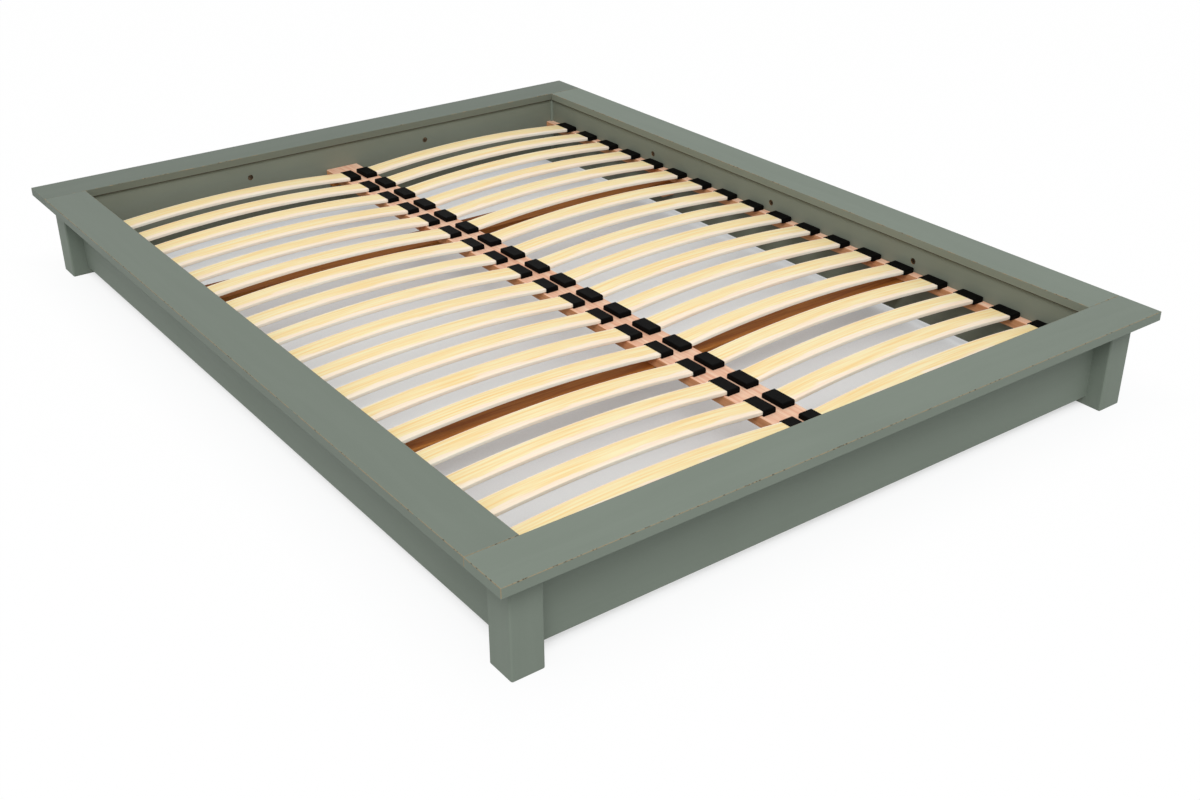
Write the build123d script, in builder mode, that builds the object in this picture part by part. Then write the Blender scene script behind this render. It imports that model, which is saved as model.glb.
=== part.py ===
from build123d import *
from math import atan, degrees, sin
import os

# Futon bed for a 140 x 190 cm mattress, in millimetres. The origin lies on the floor under the bed's middle.
# +Y points to the head end, +X to the right as seen from the foot end, and +Z up.

# Mattress and the opening that it drops into
mattress_width = 1400
mattress_length = 1900
mattress_play = 10

# Rim of four flat boards: the head and foot boards run the full width, the side boards fit between them
rim_board_width = 101
rim_thickness = 20
rim_lip = 7
rim_edge_radius = 1.2
bed_height = 215

# Upright aprons under the rim, and the square legs between them
apron_thickness = 20
apron_setback = 38
apron_floor_gap = 20
apron_edge_radius = 1.5
leg_side = 64
leg_edge_radius = 4
leg_foot_radius = 3

# Rails that carry the slats, the two planks that cross under them, and the cleats that hold these up
rail_top_height = 131
rail_thickness = 22
centre_rail_width = 92
side_rail_width = 21
rail_end_gap = 1
rail_edge_radius = 1.5
plank_width = 92
plank_thickness = 22
plank_place_share = 0.222
cleat_height = 22
cleat_length = 80
plank_cleat_depth = 40
end_cleat_depth = 20

# Sprung slats, in two columns of rows
slat_rows = 18
slat_end_distance = 92.25
slat_width = 53
slat_thickness = 8
slat_edge_radius = 3.8
slat_crown = 16
slat_blend_radius = 150

# Plastic caps on the slat ends, each with a peg that sits in the rail
cap_length = 32
cap_width = 60
cap_floor = 2
cap_roof = 1.3
cap_end_wall = 4
cap_play = 0.2
cap_shoulder_radius = 4
cap_edge_radius = 0.6
cap_pair_gap = 16
cap_apron_gap = 3
peg_diameter = 8
peg_length = 12
peg_inset = 9
peg_hole_spare = 1.5

# Cam locks and the bolts that they pull, which hold the rim to the aprons and the aprons to the legs
cam_diameter = 15
cam_length = 12
cam_recess = 2.5
cam_reach = 40
cam_slot_width = 1.6
cam_slot_length = 8
cam_slot_depth = 2.5
cam_mouth_diameter = 8
bolt_diameter = 7
bolt_neck_diameter = 4.6
bolt_neck_length = 5
bolt_head_diameter = 6.6
bolt_head_length = 3
bolt_thread_diameter = 6
bolt_thread_length = 11
bolt_bore_play = 0.5
side_cam_place_share = 0.5
end_cam_place_share = 0.38
corner_cam_height = 76

# Wooden dowels
dowel_diameter = 8
corner_dowel_length = 40
corner_dowel_low = 46
corner_dowel_drop = 49
corner_dowel_stagger = 13
seam_dowel_length = 30
seam_dowel_spacing = 50
leg_dowel_diameter = 10
leg_dowel_length = 24

# Countersunk wood screws
screw_diameter = 4
screw_head_diameter = 8
screw_head_angle = 90
screw_tip_length = 4
screw_cross_length = 4
screw_cross_width = 0.9
screw_cross_depth = 1.5
cleat_screw_length = 55
end_cleat_screw_length = 35
rail_screw_length = 35
rising_screw_length = 38
plank_screw_spacing = 60
cleat_screw_spacing = 44
side_rail_screws = 8
slat_rows_per_screw = 2

# Slack of a dowel, peg, cam or screw in its bore, and how far a bore runs past its tip
fastener_fit = 0.05
bore_spare = 1

# Sizes that follow from the ones above
opening_length = mattress_length + mattress_play
half_width = mattress_width / 2 + rim_board_width
half_length = opening_length / 2 + rim_board_width
rim_bottom = bed_height - rim_thickness
rim_side_x = half_width - rim_board_width / 2
rim_end_y = half_length - rim_board_width / 2
seam_y = opening_length / 2
apron_height = rim_bottom - apron_floor_gap
apron_inner_x = mattress_width / 2 + rim_lip
apron_inner_y = opening_length / 2 + rim_lip
apron_mid_x = apron_inner_x + apron_thickness / 2
apron_mid_y = apron_inner_y + apron_thickness / 2
leg_x = apron_inner_x + apron_thickness + apron_setback - leg_side / 2
leg_y = apron_inner_y + apron_thickness + apron_setback - leg_side / 2
leg_inner_x = leg_x - leg_side / 2
leg_inner_y = leg_y - leg_side / 2
side_cam_y = leg_inner_y * side_cam_place_share
end_cam_x = leg_inner_x * end_cam_place_share
corner_dowel_high = rim_bottom - corner_dowel_drop
rail_bottom = rail_top_height - rail_thickness
rail_half_length = apron_inner_y - rail_end_gap
side_rail_x = apron_inner_x - side_rail_width / 2
plank_bottom = rail_bottom - plank_thickness
plank_offset = opening_length * plank_place_share
cleat_bottom = plank_bottom - cleat_height
end_cleat_bottom = rail_bottom - cleat_height
cap_height = cap_floor + slat_thickness + cap_play + cap_roof
inner_cap_end = cap_pair_gap / 2
outer_cap_end = apron_inner_x - cap_apron_gap
slat_mid_height = rail_top_height + cap_floor + slat_thickness / 2
slat_pitch = (opening_length - 2 * slat_end_distance) / (slat_rows - 1)
slat_row_places = [(row - (slat_rows - 1) / 2) * slat_pitch for row in range(slat_rows)]

os.makedirs("parts", exist_ok=True)


def write_node(piece, name):
    piece.label = name
    export_step(piece, f"parts/{name}.step")


def both(value):
    return (-value, value)


# Places of the fasteners. Each is a plane whose Z axis points the way that the fastener is driven.
# A cam's plane lies in the middle of its apron: Z points into the bed and X to the joint that it closes.

rim_cam_planes = []
for x in both(apron_mid_x):
    for y in (-side_cam_y, 0, side_cam_y):
        inward = (-x, 0, 0)
        rim_cam_planes.append(Plane((x, y, rim_bottom - cam_reach), x_dir=(0, 0, 1), z_dir=inward))
for y in both(apron_mid_y):
    for x in both(end_cam_x):
        inward = (0, -y, 0)
        rim_cam_planes.append(Plane((x, y, rim_bottom - cam_reach), x_dir=(0, 0, 1), z_dir=inward))

corner_cam_planes = []
for x in both(apron_mid_x):
    for y in both(leg_inner_y - cam_reach):
        corner_cam_planes.append(Plane((x, y, corner_cam_height), x_dir=(0, y, 0), z_dir=(-x, 0, 0)))
for y in both(apron_mid_y):
    for x in both(leg_inner_x - cam_reach):
        corner_cam_planes.append(Plane((x, y, corner_cam_height), x_dir=(x, 0, 0), z_dir=(0, -y, 0)))

corner_dowel_planes = []
for height in (corner_dowel_low, corner_dowel_high):
    for x in both(apron_mid_x):
        for y in both(leg_inner_y):
            corner_dowel_planes.append(Plane((x, y, height), z_dir=(0, y, 0)))
    for y in both(apron_mid_y):
        for x in both(leg_inner_x):
            corner_dowel_planes.append(Plane((x, y, height + corner_dowel_stagger), z_dir=(x, 0, 0)))

seam_dowel_planes = []
for side_x in both(rim_side_x):
    for x_step in both(seam_dowel_spacing / 2):
        for y in both(seam_y):
            place = (side_x + x_step, y, bed_height - rim_thickness / 2)
            seam_dowel_planes.append(Plane(place, z_dir=(0, y, 0)))

leg_dowel_planes = [Plane((x, y, rim_bottom)) for x in both(leg_x) for y in both(leg_y)]

side_screw_planes = []
for x in both(apron_inner_x - side_rail_width):
    for number in range(side_rail_screws):
        screw_y = (number - (side_rail_screws - 1) / 2) * slat_rows_per_screw * slat_pitch
        place = (x, screw_y, rail_top_height - rail_thickness / 2)
        side_screw_planes.append(Plane(place, z_dir=(x, 0, 0)))

cleat_screw_planes = []
for x in both(apron_inner_x - plank_cleat_depth):
    for plank_y in both(plank_offset):
        for y_step in both(cleat_screw_spacing / 2):
            place = (x, plank_y + y_step, cleat_bottom + cleat_height / 2)
            cleat_screw_planes.append(Plane(place, z_dir=(x, 0, 0)))

end_cleat_screw_planes = []
for y in both(apron_inner_y - end_cleat_depth):
    for x in both(cleat_screw_spacing / 2):
        end_cleat_screw_planes.append(Plane((x, y, end_cleat_bottom + cleat_height / 2), z_dir=(0, y, 0)))

# Screws driven upwards: two through each plank into the centre rail, one through each cleat
rising_screw_planes = []
for plank_y in both(plank_offset):
    for x in both(plank_screw_spacing / 2):
        rising_screw_planes.append(Plane((x, plank_y, plank_bottom)))
    for x in both(apron_inner_x - plank_cleat_depth * 3 / 4):
        rising_screw_planes.append(Plane((x, plank_y, cleat_bottom)))
for y in both(apron_inner_y - end_cleat_depth / 2):
    rising_screw_planes.append(Plane((0, y, end_cleat_bottom)))

all_cam_planes = rim_cam_planes + corner_cam_planes


# Bores, each cut inside the block of the piece that has them


def cut_bores(planes, diameter, length):
    # Straight bores from each plane along its Z axis
    with Locations(*[Plane(plane.origin, x_dir=plane.x_dir, z_dir=-plane.z_dir) for plane in planes]):
        Hole(radius=diameter / 2 + fastener_fit, depth=length)


def cut_screw_bores(planes, length):
    with Locations(*[Plane(plane.origin, x_dir=plane.x_dir, z_dir=-plane.z_dir) for plane in planes]):
        CounterSinkHole(
            radius=screw_diameter / 2 + fastener_fit,
            counter_sink_radius=screw_head_diameter / 2 + fastener_fit,
            depth=length + bore_spare,
            counter_sink_angle=screw_head_angle,
        )


def cut_dowel_bores(planes, diameter, length):
    # A dowel lies half on each side of its plane
    with Locations(*planes):
        Cylinder(diameter / 2 + fastener_fit, length + bore_spare, mode=Mode.SUBTRACT)


def cut_cam_pockets(planes):
    face_planes = [plane.offset(apron_thickness / 2) for plane in planes]
    with Locations(*face_planes):
        Hole(radius=cam_diameter / 2 + fastener_fit, depth=cam_recess + cam_length)


def cut_bolt_bores(planes):
    # From the cam's middle to the joint, then a thread bore in the piece beyond it
    axis_planes = [Plane(plane.origin, z_dir=plane.x_dir) for plane in planes]
    with Locations(*[plane.offset(cam_reach / 2) for plane in axis_planes]):
        Cylinder((bolt_diameter + bolt_bore_play) / 2, cam_reach, mode=Mode.SUBTRACT)
    thread_length = bolt_thread_length + bore_spare
    with Locations(*[plane.offset(cam_reach + thread_length / 2) for plane in axis_planes]):
        Cylinder(bolt_thread_diameter / 2 + fastener_fit, thread_length, mode=Mode.SUBTRACT)


# Rim boards


def rim_board(centre_x, centre_y, size_x, size_y):
    with BuildPart() as board:
        with BuildSketch(Plane.XY.offset(rim_bottom)):
            with Locations((centre_x, centre_y)):
                Rectangle(size_x, size_y)
        extrude(amount=rim_thickness)
        fillet(board.edges(), rim_edge_radius)
        cut_bolt_bores(rim_cam_planes)
        cut_dowel_bores(seam_dowel_planes, dowel_diameter, seam_dowel_length)
        cut_dowel_bores(leg_dowel_planes, leg_dowel_diameter, leg_dowel_length)
    return board.part


write_node(rim_board(0, rim_end_y, 2 * half_width, rim_board_width), "rim_head")
write_node(rim_board(0, -rim_end_y, 2 * half_width, rim_board_width), "rim_foot")
write_node(rim_board(-rim_side_x, 0, rim_board_width, opening_length), "rim_left")
write_node(rim_board(rim_side_x, 0, rim_board_width, opening_length), "rim_right")


# Aprons


def apron(centre_x, centre_y, size_x, size_y):
    with BuildPart() as board:
        with BuildSketch(Plane.XY.offset(apron_floor_gap)):
            with Locations((centre_x, centre_y)):
                Rectangle(size_x, size_y)
        extrude(amount=apron_height)
        long_axis = Axis.X if size_x > size_y else Axis.Y
        fillet(board.edges().filter_by(long_axis).group_by(Axis.Z)[0], apron_edge_radius)
        cut_cam_pockets(all_cam_planes)
        cut_bolt_bores(all_cam_planes)
        cut_dowel_bores(corner_dowel_planes, dowel_diameter, corner_dowel_length)
        cut_screw_bores(side_screw_planes, rail_screw_length)
        cut_screw_bores(cleat_screw_planes, cleat_screw_length)
        cut_screw_bores(end_cleat_screw_planes, end_cleat_screw_length)
    return board.part


write_node(apron(0, apron_mid_y, 2 * leg_inner_x, apron_thickness), "apron_head")
write_node(apron(0, -apron_mid_y, 2 * leg_inner_x, apron_thickness), "apron_foot")
write_node(apron(-apron_mid_x, 0, apron_thickness, 2 * leg_inner_y), "apron_left")
write_node(apron(apron_mid_x, 0, apron_thickness, 2 * leg_inner_y), "apron_right")


# Legs, with rounded upright edges and eased feet

leg_names = {
    "leg_head_left": (-leg_x, leg_y),
    "leg_head_right": (leg_x, leg_y),
    "leg_foot_left": (-leg_x, -leg_y),
    "leg_foot_right": (leg_x, -leg_y),
}
for name, place in leg_names.items():
    with BuildPart() as leg:
        with BuildSketch():
            with Locations(place):
                Rectangle(leg_side, leg_side)
        extrude(amount=rim_bottom)
        fillet(leg.edges().filter_by(Axis.Z), leg_edge_radius)
        fillet(leg.faces().sort_by(Axis.Z)[0].edges(), leg_foot_radius)
        cut_bolt_bores(corner_cam_planes)
        cut_dowel_bores(corner_dowel_planes, dowel_diameter, corner_dowel_length)
        cut_dowel_bores(leg_dowel_planes, leg_dowel_diameter, leg_dowel_length)
    write_node(leg.part, name)


# Rails. The side rails are notched round the inner corners of the legs.


def rail(centre_x, width, peg_places):
    with BuildPart() as strip:
        with BuildSketch(Plane.XY.offset(rail_bottom)):
            with Locations((centre_x, 0)):
                Rectangle(width, 2 * rail_half_length)
            with Locations(*[(x, y) for x in both(leg_x) for y in both(leg_y)]):
                Rectangle(leg_side + 2 * rail_end_gap, leg_side + 2 * rail_end_gap, mode=Mode.SUBTRACT)
        extrude(amount=rail_thickness)
        fillet(strip.edges().filter_by(Axis.Y), rail_edge_radius)
        with Locations(*[(x, y, rail_top_height) for x in peg_places for y in slat_row_places]):
            Hole(radius=peg_diameter / 2 + fastener_fit, depth=peg_length + peg_hole_spare)
        cut_screw_bores(side_screw_planes, rail_screw_length)
        cut_screw_bores(rising_screw_planes, rising_screw_length)
    return strip.part


write_node(rail(0, centre_rail_width, both(inner_cap_end + peg_inset)), "centre_rail")
write_node(rail(-side_rail_x, side_rail_width, [peg_inset - outer_cap_end]), "side_rail_left")
write_node(rail(side_rail_x, side_rail_width, [outer_cap_end - peg_inset]), "side_rail_right")


# Planks that cross under the rails, and the cleats under the planks and under the ends of the centre rail

for name, centre_y in (("cross_plank_head", plank_offset), ("cross_plank_foot", -plank_offset)):
    with BuildPart() as plank:
        with BuildSketch(Plane.XY.offset(plank_bottom)):
            with Locations((0, centre_y)):
                Rectangle(2 * (apron_inner_x - rail_end_gap), plank_width)
        extrude(amount=plank_thickness)
        fillet(plank.edges().filter_by(Axis.X), rail_edge_radius)
        cut_screw_bores(rising_screw_planes, rising_screw_length)
    write_node(plank.part, name)

plank_cleat_x = apron_inner_x - plank_cleat_depth / 2
plank_cleat_names = {
    "plank_cleat_head_left": (-plank_cleat_x, plank_offset),
    "plank_cleat_head_right": (plank_cleat_x, plank_offset),
    "plank_cleat_foot_left": (-plank_cleat_x, -plank_offset),
    "plank_cleat_foot_right": (plank_cleat_x, -plank_offset),
}
for name, place in plank_cleat_names.items():
    with BuildPart() as cleat:
        with BuildSketch(Plane.XY.offset(cleat_bottom)):
            with Locations(place):
                Rectangle(plank_cleat_depth, cleat_length)
        extrude(amount=cleat_height)
        fillet(cleat.edges().filter_by(Axis.Y).group_by(Axis.Z)[0], rail_edge_radius)
        cut_screw_bores(cleat_screw_planes, cleat_screw_length)
        cut_screw_bores(rising_screw_planes, rising_screw_length)
    write_node(cleat.part, name)

end_cleat_y = apron_inner_y - end_cleat_depth / 2
for name, centre_y in (("end_cleat_head", end_cleat_y), ("end_cleat_foot", -end_cleat_y)):
    with BuildPart() as end_cleat:
        with BuildSketch(Plane.XY.offset(end_cleat_bottom)):
            with Locations((0, centre_y)):
                Rectangle(cleat_length, end_cleat_depth)
        extrude(amount=cleat_height)
        fillet(end_cleat.edges().filter_by(Axis.X).group_by(Axis.Z)[0], rail_edge_radius)
        cut_screw_bores(end_cleat_screw_planes, end_cleat_screw_length)
        cut_screw_bores(rising_screw_planes, rising_screw_length)
    write_node(end_cleat.part, name)


# Slats. Each lies level in its caps and bows up between them: a short blend at each cap and one long arc.
# A node holds the left and right slat of one row, and row 1 is at the foot end.

inner_mouth = inner_cap_end + cap_length
outer_mouth = outer_cap_end - cap_length
half_span = (outer_mouth - inner_mouth) / 2
bow_angle = 2 * atan(slat_crown / half_span)
bow_radius = half_span / sin(bow_angle) - slat_blend_radius
slat_inner_end = inner_cap_end + cap_end_wall + cap_play
slat_outer_end = outer_cap_end - cap_end_wall - cap_play

with BuildPart() as slat_pair:
    with BuildLine(Plane.XZ) as bow:
        inner_flat = Line((slat_inner_end, slat_mid_height), (inner_mouth, slat_mid_height))
        inner_blend = JernArc(inner_flat @ 1, inner_flat % 1, slat_blend_radius, degrees(bow_angle))
        crown = JernArc(inner_blend @ 1, inner_blend % 1, bow_radius, -2 * degrees(bow_angle))
        outer_blend = JernArc(crown @ 1, crown % 1, slat_blend_radius, degrees(bow_angle))
        Line(outer_blend @ 1, (slat_outer_end, slat_mid_height))
    with BuildSketch(Plane(bow.line @ 0, x_dir=(0, 1, 0), z_dir=(1, 0, 0))):
        RectangleRounded(slat_width, slat_thickness, slat_edge_radius)
    sweep()
    mirror(about=Plane.YZ)

for row, row_y in enumerate(slat_row_places, start=1):
    with BuildPart() as slat_row:
        with Locations((0, row_y, 0)):
            add(slat_pair.part)
    write_node(slat_row.part, f"slat_row_{row:02d}")


# Caps. The closed end is at X zero, the mouth faces +X, and the peg goes down into the rail.

with BuildPart() as cap:
    with BuildSketch(Plane.YZ):
        with Locations((0, cap_height / 2)):
            Rectangle(cap_width, cap_height)
    extrude(amount=cap_length)
    fillet(cap.edges().filter_by(Axis.X).group_by(Axis.Z)[-1], cap_shoulder_radius)
    fillet(cap.faces().sort_by(Axis.X)[0].edges(), cap_edge_radius)
    with BuildSketch(Plane.YZ.offset(cap_length)):
        with Locations((0, cap_floor + (slat_thickness + cap_play) / 2)):
            RectangleRounded(slat_width + 2 * cap_play, slat_thickness + cap_play, slat_edge_radius)
    extrude(amount=cap_end_wall - cap_length, mode=Mode.SUBTRACT)
    with Locations((peg_inset, 0, 0)):
        Cylinder(peg_diameter / 2, peg_length, align=(Align.CENTER, Align.CENTER, Align.MAX))

to_right = (1, 0, 0)
to_left = (-1, 0, 0)
cap_lines = {
    "left_outer": (-outer_cap_end, to_right),
    "left_inner": (-inner_cap_end, to_left),
    "right_inner": (inner_cap_end, to_right),
    "right_outer": (outer_cap_end, to_left),
}
for name, (end_x, mouth_side) in cap_lines.items():
    with BuildPart() as cap_line:
        cap_planes = [Plane((end_x, y, rail_top_height), x_dir=mouth_side) for y in slat_row_places]
        with Locations(*cap_planes):
            add(cap.part)
    write_node(cap_line.part, f"slat_caps_{name}")


# Cam lock on its plane: a slotted disc with a mouth on the joint's side that takes the head of the bolt

cam_front = apron_thickness / 2 - cam_recess
with BuildPart() as cam:
    with BuildSketch(Plane.XY.offset(cam_front - cam_length)):
        Circle(cam_diameter / 2)
    extrude(amount=cam_length)
    with BuildSketch(Plane.XY.offset(cam_front)):
        Rectangle(cam_slot_length, cam_slot_width)
        Rectangle(cam_slot_width, cam_slot_length)
    extrude(amount=-cam_slot_depth, mode=Mode.SUBTRACT)
    with BuildSketch(Plane.YZ):
        Circle(cam_mouth_diameter / 2)
    extrude(amount=cam_diameter, mode=Mode.SUBTRACT)

# Bolt of a cam lock: head and neck in the cam, a smooth shank, and a thread in the piece beyond the joint

with BuildPart() as cam_bolt:
    with BuildSketch(Plane.YZ):
        Circle(bolt_head_diameter / 2)
    extrude(amount=bolt_head_length)
    with BuildSketch(Plane.YZ.offset(bolt_head_length)):
        Circle(bolt_neck_diameter / 2)
    extrude(amount=bolt_neck_length)
    with BuildSketch(Plane.YZ.offset(bolt_head_length + bolt_neck_length)):
        Circle(bolt_diameter / 2)
    extrude(amount=cam_reach - bolt_head_length - bolt_neck_length)
    with BuildSketch(Plane.YZ.offset(cam_reach)):
        Circle(bolt_thread_diameter / 2)
    extrude(amount=bolt_thread_length)
    chamfer(cam_bolt.faces().sort_by(Axis.X)[-1].edges(), bolt_thread_diameter / 6)


# Groups of fasteners


def place_all(piece, planes, name):
    with BuildPart() as group:
        with Locations(*planes):
            add(piece)
    write_node(group.part, name)


place_all(cam.part, rim_cam_planes, "rim_cam_locks")
place_all(cam_bolt.part, rim_cam_planes, "rim_cam_bolts")
place_all(cam.part, corner_cam_planes, "corner_cam_locks")
place_all(cam_bolt.part, corner_cam_planes, "corner_cam_bolts")


def dowel(diameter, length):
    with BuildPart() as pin:
        Cylinder(diameter / 2, length)
        chamfer(pin.edges(), diameter / 8)
    return pin.part


place_all(dowel(dowel_diameter, corner_dowel_length), corner_dowel_planes, "corner_dowels")
place_all(dowel(dowel_diameter, seam_dowel_length), seam_dowel_planes, "rim_seam_dowels")
place_all(dowel(leg_dowel_diameter, leg_dowel_length), leg_dowel_planes, "leg_top_dowels")


def wood_screw(length):
    # The flat of the head lies on the plane, with a cross cut in it, and the tip points along its Z axis
    head_height = (screw_head_diameter - screw_diameter) / 2
    with BuildPart() as screw:
        with BuildSketch(Plane.XZ):
            with BuildLine():
                Polyline(
                    (0, 0),
                    (screw_head_diameter / 2, 0),
                    (screw_diameter / 2, head_height),
                    (screw_diameter / 2, length - screw_tip_length),
                    (0, length),
                    close=True,
                )
            make_face()
        revolve(axis=Axis.Z)
        with BuildSketch(Plane.XY):
            Rectangle(screw_cross_length, screw_cross_width)
            Rectangle(screw_cross_width, screw_cross_length)
        extrude(amount=screw_cross_depth, mode=Mode.SUBTRACT)
    return screw.part


place_all(wood_screw(rail_screw_length), side_screw_planes, "side_rail_screws")
place_all(wood_screw(cleat_screw_length), cleat_screw_planes, "plank_cleat_screws")
place_all(wood_screw(end_cleat_screw_length), end_cleat_screw_planes, "end_cleat_screws")
place_all(wood_screw(rising_screw_length), rising_screw_planes, "rising_screws")

print("outer size", 2 * half_width, 2 * half_length, bed_height)
print("opening", mattress_width, opening_length)
print("slat pitch", slat_pitch, "slat top at its middle", slat_mid_height + slat_thickness / 2 + slat_crown)
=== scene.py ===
import math

import bmesh
import bpy
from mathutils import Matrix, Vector


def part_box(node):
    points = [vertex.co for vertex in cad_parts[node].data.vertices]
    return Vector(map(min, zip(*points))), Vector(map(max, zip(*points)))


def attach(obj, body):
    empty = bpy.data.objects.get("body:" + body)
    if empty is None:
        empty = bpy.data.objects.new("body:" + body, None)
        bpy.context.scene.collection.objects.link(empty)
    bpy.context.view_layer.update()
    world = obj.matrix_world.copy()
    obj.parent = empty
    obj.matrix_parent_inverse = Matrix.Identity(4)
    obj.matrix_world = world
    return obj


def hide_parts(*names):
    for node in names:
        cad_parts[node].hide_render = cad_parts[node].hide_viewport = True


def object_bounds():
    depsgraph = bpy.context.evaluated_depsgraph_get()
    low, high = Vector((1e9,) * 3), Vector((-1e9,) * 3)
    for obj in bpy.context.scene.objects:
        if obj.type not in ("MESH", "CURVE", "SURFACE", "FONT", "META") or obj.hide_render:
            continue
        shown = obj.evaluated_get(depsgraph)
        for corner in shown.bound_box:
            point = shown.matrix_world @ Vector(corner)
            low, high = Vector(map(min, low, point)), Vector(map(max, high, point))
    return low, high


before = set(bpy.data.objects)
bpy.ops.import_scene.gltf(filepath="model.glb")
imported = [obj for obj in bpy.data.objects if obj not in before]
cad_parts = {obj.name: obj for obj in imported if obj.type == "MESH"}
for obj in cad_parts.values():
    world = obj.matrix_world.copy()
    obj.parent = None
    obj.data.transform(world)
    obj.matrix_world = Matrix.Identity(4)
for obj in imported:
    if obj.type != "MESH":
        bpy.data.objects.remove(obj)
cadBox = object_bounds()
print("frame loaded:", len(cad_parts), "nodes")


# Helpers for node trees

def plugIn(tree, socket, value):
    if isinstance(value, bpy.types.NodeSocket):
        tree.links.new(value, socket)
    else:
        socket.default_value = value


def addNode(tree, kind, inputs=None, **settings):
    node = tree.nodes.new(kind)
    for name, value in settings.items():
        setattr(node, name, value)
    for key, value in (inputs or {}).items():
        plugIn(tree, node.inputs[key], value)
    return node


def addMath(tree, operation, first, second=0.0, third=0.0, clamp=False):
    values = {0: first, 1: second, 2: third}
    return addNode(tree, "ShaderNodeMath", values, operation=operation, use_clamp=clamp).outputs[0]


def addShares(tree, *parts):
    # The sum of some values, each times its share
    total = addMath(tree, "MULTIPLY", *parts[0])
    for value, share in parts[1:]:
        total = addMath(tree, "MULTIPLY_ADD", value, share, total)
    return total


def vectorMath(tree, operation, first, second):
    return addNode(tree, "ShaderNodeVectorMath", {0: first, 1: second}, operation=operation).outputs[0]


def combine(tree, x=0.0, y=0.0, z=0.0):
    return addNode(tree, "ShaderNodeCombineXYZ", {0: x, 1: y, 2: z}).outputs[0]


def separate(tree, vector):
    return addNode(tree, "ShaderNodeSeparateXYZ", {0: vector}).outputs


def mixColors(tree, factor, first, second):
    mix = addNode(tree, "ShaderNodeMix", {0: factor, 6: first, 7: second}, data_type="RGBA")
    return mix.outputs[2]


def mapRange(tree, value, low, high, toLow=0.0, toHigh=1.0, smooth=False):
    inputs = {"Value": value, 1: low, 2: high, 3: toLow, 4: toHigh}
    interpolation = "SMOOTHSTEP" if smooth else "LINEAR"
    return addNode(tree, "ShaderNodeMapRange", inputs, interpolation_type=interpolation).outputs[0]


def addNoise(tree, vector, scale, detail=2.0, roughness=0.5, distortion=0.0):
    inputs = {"Vector": vector, "Scale": scale, "Detail": detail, "Roughness": roughness,
              "Distortion": distortion}
    return addNode(tree, "ShaderNodeTexNoise", inputs).outputs["Fac"]


def stretch(tree, vector, scale):
    return addNode(tree, "ShaderNodeMapping", {"Vector": vector, "Scale": scale}).outputs[0]


def newTree(name, kind, inputs, outputs):
    tree = bpy.data.node_groups.new(name, kind)
    for socketName, (socketType, default) in inputs.items():
        socket = tree.interface.new_socket(name=socketName, in_out="INPUT", socket_type=socketType)
        if default is not None:
            socket.default_value = default
    for socketName, socketType in outputs.items():
        tree.interface.new_socket(name=socketName, in_out="OUTPUT", socket_type=socketType)
    return tree, tree.nodes.new("NodeGroupInput").outputs, tree.nodes.new("NodeGroupOutput").inputs


def linear(red, green, blue):
    # A colour as seen on screen, 0 to 255, as the linear values that the shader takes
    def channel(value):
        value /= 255
        return value / 12.92 if value <= 0.04045 else ((value + 0.055) / 1.055) ** 2.4
    return (channel(red), channel(green), channel(blue), 1.0)


# Shader groups

def buildEdgeGroup():
    # How far a point of a square-edged board is from the board's nearest edge, and how deep it is in a bore
    tree, given, out = newTree("boardEdge", "ShaderNodeTree", {
        "Vector": ("NodeSocketVector", None),
        "Centre": ("NodeSocketVector", None),
        "Half Size": ("NodeSocketVector", None),
    }, {"Distance": "NodeSocketFloat", "Depth": "NodeSocketFloat"})
    fromCentre = vectorMath(tree, "SUBTRACT", given["Vector"], given["Centre"])
    size = addNode(tree, "ShaderNodeVectorMath", {0: fromCentre}, operation="ABSOLUTE").outputs[0]
    x, y, z = separate(tree, vectorMath(tree, "SUBTRACT", given["Half Size"], size))
    # The least of the three is the face that the point lies on, and the middle one is its nearest edge
    lower = addMath(tree, "MINIMUM", x, y)
    upper = addMath(tree, "MAXIMUM", x, y)
    plugIn(tree, out["Distance"], addMath(tree, "MAXIMUM", lower, addMath(tree, "MINIMUM", upper, z)))
    plugIn(tree, out["Depth"], addMath(tree, "MINIMUM", lower, z))
    return tree


# Lacquer rubbed off along an edge. Scales are in patches per metre and ranges are those of the noise.

rubbing = {
    "width": 0.001,
    "widthLeast": 0.4,
    "amount": 0.5,
    "patchScale": 45.0,
    "patchDetail": 3.0,
    "patchRoughness": 0.7,
    "swayScale": 3.0,
    "swayReach": 0.5,
    "fullAt": 0.95,
    "amountReach": 0.8,
    "softness": 0.1,
    "nickScale": 150.0,
    "nickRange": (0.58, 0.64),
    "nickReach": 0.4,
    "speckScale": 260.0,
    "speckRange": (0.38, 0.5),
    "speckReach": 0.45,
}


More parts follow.
